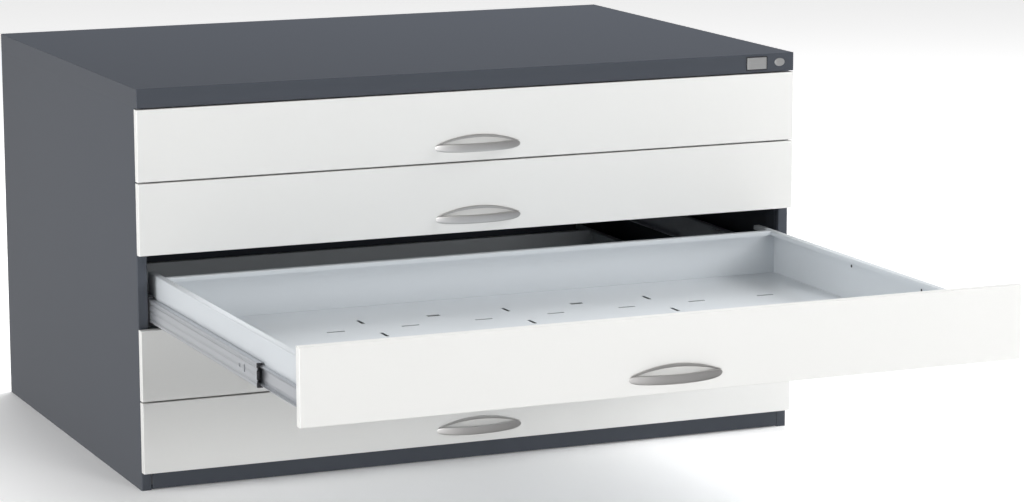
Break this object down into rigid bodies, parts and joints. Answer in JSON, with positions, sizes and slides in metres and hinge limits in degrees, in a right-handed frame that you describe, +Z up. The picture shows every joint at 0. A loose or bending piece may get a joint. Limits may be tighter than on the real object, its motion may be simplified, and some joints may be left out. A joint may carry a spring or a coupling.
{
  "type": "flat file cabinet",
  "caption": "Low, wide steel plan cabinet with shallow full-extension drawers on telescopic slides, bow handles and a plinth, one drawer shown open.",
  "frame": {"origin": "middle of the cabinet's footprint, on the floor, which is the underside of the channel under the base panel", "axes": "+X to the right seen from the front, +Y to the back, +Z up; drawers open along -Y; the middle drawer is open at rest"},
  "size_m": [1.35, 1.864, 0.76],
  "materials": {
    "body_paint": "dark blue-grey powder coat, fine satin texture",
    "front_paint": "light grey powder coat, fine satin texture",
    "box_paint": "pale grey coated sheet, smooth satin",
    "bright_zinc": "bright zinc plated and roll-formed",
    "satin_metal": "satin silver, finely brushed",
    "dark_plastic": "black moulded plastic",
    "structure_paint": "dark powder coat on hidden sheet"
  },
  "bodies": {
    "cabinet": {"top_cover": "body_paint", "top_stiffeners": "structure_paint", "side_panel_left": "body_paint", "side_panel_right": "body_paint", "back_panel": "body_paint", "base_panel": "structure_paint", "plinth_panel": "body_paint", "uprights": "structure_paint", "outer_rails": "bright_zinc", "levelling_feet": "dark_plastic"},
    "drawer_1": {"drawer_1_front": "front_paint", "drawer_1_side_walls": "box_paint", "drawer_1_end_walls": "box_paint", "drawer_1_floor": "box_paint", "drawer_1_handle": "satin_metal", "drawer_1_handle_screws": "bright_zinc", "drawer_1_inner_rails": "bright_zinc"},
    "middle_rails_1": {"drawer_1_middle_rails": "bright_zinc"},
    "outer_cages_1": {"drawer_1_outer_cages": "dark_plastic"},
    "inner_cages_1": {"drawer_1_inner_cages": "dark_plastic"},
    "drawer_2": {"drawer_2_front": "front_paint", "drawer_2_side_walls": "box_paint", "drawer_2_end_walls": "box_paint", "drawer_2_floor": "box_paint", "drawer_2_handle": "satin_metal", "drawer_2_handle_screws": "bright_zinc", "drawer_2_inner_rails": "bright_zinc"},
    "middle_rails_2": {"drawer_2_middle_rails": "bright_zinc"},
    "outer_cages_2": {"drawer_2_outer_cages": "dark_plastic"},
    "inner_cages_2": {"drawer_2_inner_cages": "dark_plastic"},
    "drawer_3": {"drawer_3_front": "front_paint", "drawer_3_side_walls": "box_paint", "drawer_3_end_walls": "box_paint", "drawer_3_floor": "box_paint", "drawer_3_handle": "satin_metal", "drawer_3_handle_screws": "bright_zinc", "drawer_3_inner_rails": "bright_zinc"},
    "middle_rails_3": {"drawer_3_middle_rails": "bright_zinc"},
    "outer_cages_3": {"drawer_3_outer_cages": "dark_plastic"},
    "inner_cages_3": {"drawer_3_inner_cages": "dark_plastic"},
    "drawer_4": {"drawer_4_front": "front_paint", "drawer_4_side_walls": "box_paint", "drawer_4_end_walls": "box_paint", "drawer_4_floor": "box_paint", "drawer_4_handle": "satin_metal", "drawer_4_handle_screws": "bright_zinc", "drawer_4_inner_rails": "bright_zinc"},
    "middle_rails_4": {"drawer_4_middle_rails": "bright_zinc"},
    "outer_cages_4": {"drawer_4_outer_cages": "dark_plastic"},
    "inner_cages_4": {"drawer_4_inner_cages": "dark_plastic"},
    "drawer_5": {"drawer_5_front": "front_paint", "drawer_5_side_walls": "box_paint", "drawer_5_end_walls": "box_paint", "drawer_5_floor": "box_paint", "drawer_5_handle": "satin_metal", "drawer_5_handle_screws": "bright_zinc", "drawer_5_inner_rails": "bright_zinc"},
    "middle_rails_5": {"drawer_5_middle_rails": "bright_zinc"},
    "outer_cages_5": {"drawer_5_outer_cages": "dark_plastic"},
    "inner_cages_5": {"drawer_5_inner_cages": "dark_plastic"}
  },
  "joints": [
    {"name": "drawer_1_slide", "type": "slide", "parent": "cabinet", "child": "drawer_1", "axis": [0, -1, 0], "range_m": [0, 0.9]},
    {"name": "middle_rails_1_slide", "type": "slide", "parent": "cabinet", "child": "middle_rails_1", "axis": [0, -1, 0], "range_m": [0, 0.6305]},
    {"name": "outer_cages_1_slide", "type": "slide", "parent": "cabinet", "child": "outer_cages_1", "axis": [0, -1, 0], "range_m": [0, 0.3155]},
    {"name": "inner_cages_1_slide", "type": "slide", "parent": "cabinet", "child": "inner_cages_1", "axis": [0, -1, 0], "range_m": [0, 0.7655]},
    {"name": "drawer_2_slide", "type": "slide", "parent": "cabinet", "child": "drawer_2", "axis": [0, -1, 0], "range_m": [0, 0.9]},
    {"name": "middle_rails_2_slide", "type": "slide", "parent": "cabinet", "child": "middle_rails_2", "axis": [0, -1, 0], "range_m": [0, 0.6305]},
    {"name": "outer_cages_2_slide", "type": "slide", "parent": "cabinet", "child": "outer_cages_2", "axis": [0, -1, 0], "range_m": [0, 0.3155]},
    {"name": "inner_cages_2_slide", "type": "slide", "parent": "cabinet", "child": "inner_cages_2", "axis": [0, -1, 0], "range_m": [0, 0.7655]},
    {"name": "drawer_3_slide", "type": "slide", "parent": "cabinet", "child": "drawer_3", "axis": [0, -1, 0], "range_m": [-0.88, 0.02]},
    {"name": "middle_rails_3_slide", "type": "slide", "parent": "cabinet", "child": "middle_rails_3", "axis": [0, -1, 0], "range_m": [-0.6165, 0.0145]},
    {"name": "outer_cages_3_slide", "type": "slide", "parent": "cabinet", "child": "outer_cages_3", "axis": [0, -1, 0], "range_m": [-0.3085, 0.0075]},
    {"name": "inner_cages_3_slide", "type": "slide", "parent": "cabinet", "child": "inner_cages_3", "axis": [0, -1, 0], "range_m": [-0.7485, 0.0175]},
    {"name": "drawer_4_slide", "type": "slide", "parent": "cabinet", "child": "drawer_4", "axis": [0, -1, 0], "range_m": [0, 0.9]},
    {"name": "middle_rails_4_slide", "type": "slide", "parent": "cabinet", "child": "middle_rails_4", "axis": [0, -1, 0], "range_m": [0, 0.6305]},
    {"name": "outer_cages_4_slide", "type": "slide", "parent": "cabinet", "child": "outer_cages_4", "axis": [0, -1, 0], "range_m": [0, 0.3155]},
    {"name": "inner_cages_4_slide", "type": "slide", "parent": "cabinet", "child": "inner_cages_4", "axis": [0, -1, 0], "range_m": [0, 0.7655]},
    {"name": "drawer_5_slide", "type": "slide", "parent": "cabinet", "child": "drawer_5", "axis": [0, -1, 0], "range_m": [0, 0.9]},
    {"name": "middle_rails_5_slide", "type": "slide", "parent": "cabinet", "child": "middle_rails_5", "axis": [0, -1, 0], "range_m": [0, 0.6305]},
    {"name": "outer_cages_5_slide", "type": "slide", "parent": "cabinet", "child": "outer_cages_5", "axis": [0, -1, 0], "range_m": [0, 0.3155]},
    {"name": "inner_cages_5_slide", "type": "slide", "parent": "cabinet", "child": "inner_cages_5", "axis": [0, -1, 0], "range_m": [0, 0.7655]}
  ],
  "couplings": [
    {"joint": "middle_rails_1_slide", "follows": "drawer_1_slide", "ratio": 0.7},
    {"joint": "outer_cages_1_slide", "follows": "drawer_1_slide", "ratio": 0.35},
    {"joint": "inner_cages_1_slide", "follows": "drawer_1_slide", "ratio": 0.85},
    {"joint": "middle_rails_2_slide", "follows": "drawer_2_slide", "ratio": 0.7},
    {"joint": "outer_cages_2_slide", "follows": "drawer_2_slide", "ratio": 0.35},
    {"joint": "inner_cages_2_slide", "follows": "drawer_2_slide", "ratio": 0.85},
    {"joint": "middle_rails_3_slide", "follows": "drawer_3_slide", "ratio": 0.7},
    {"joint": "outer_cages_3_slide", "follows": "drawer_3_slide", "ratio": 0.35},
    {"joint": "inner_cages_3_slide", "follows": "drawer_3_slide", "ratio": 0.85},
    {"joint": "middle_rails_4_slide", "follows": "drawer_4_slide", "ratio": 0.7},
    {"joint": "outer_cages_4_slide", "follows": "drawer_4_slide", "ratio": 0.35},
    {"joint": "inner_cages_4_slide", "follows": "drawer_4_slide", "ratio": 0.85},
    {"joint": "middle_rails_5_slide", "follows": "drawer_5_slide", "ratio": 0.7},
    {"joint": "outer_cages_5_slide", "follows": "drawer_5_slide", "ratio": 0.35},
    {"joint": "inner_cages_5_slide", "follows": "drawer_5_slide", "ratio": 0.85}
  ]
}
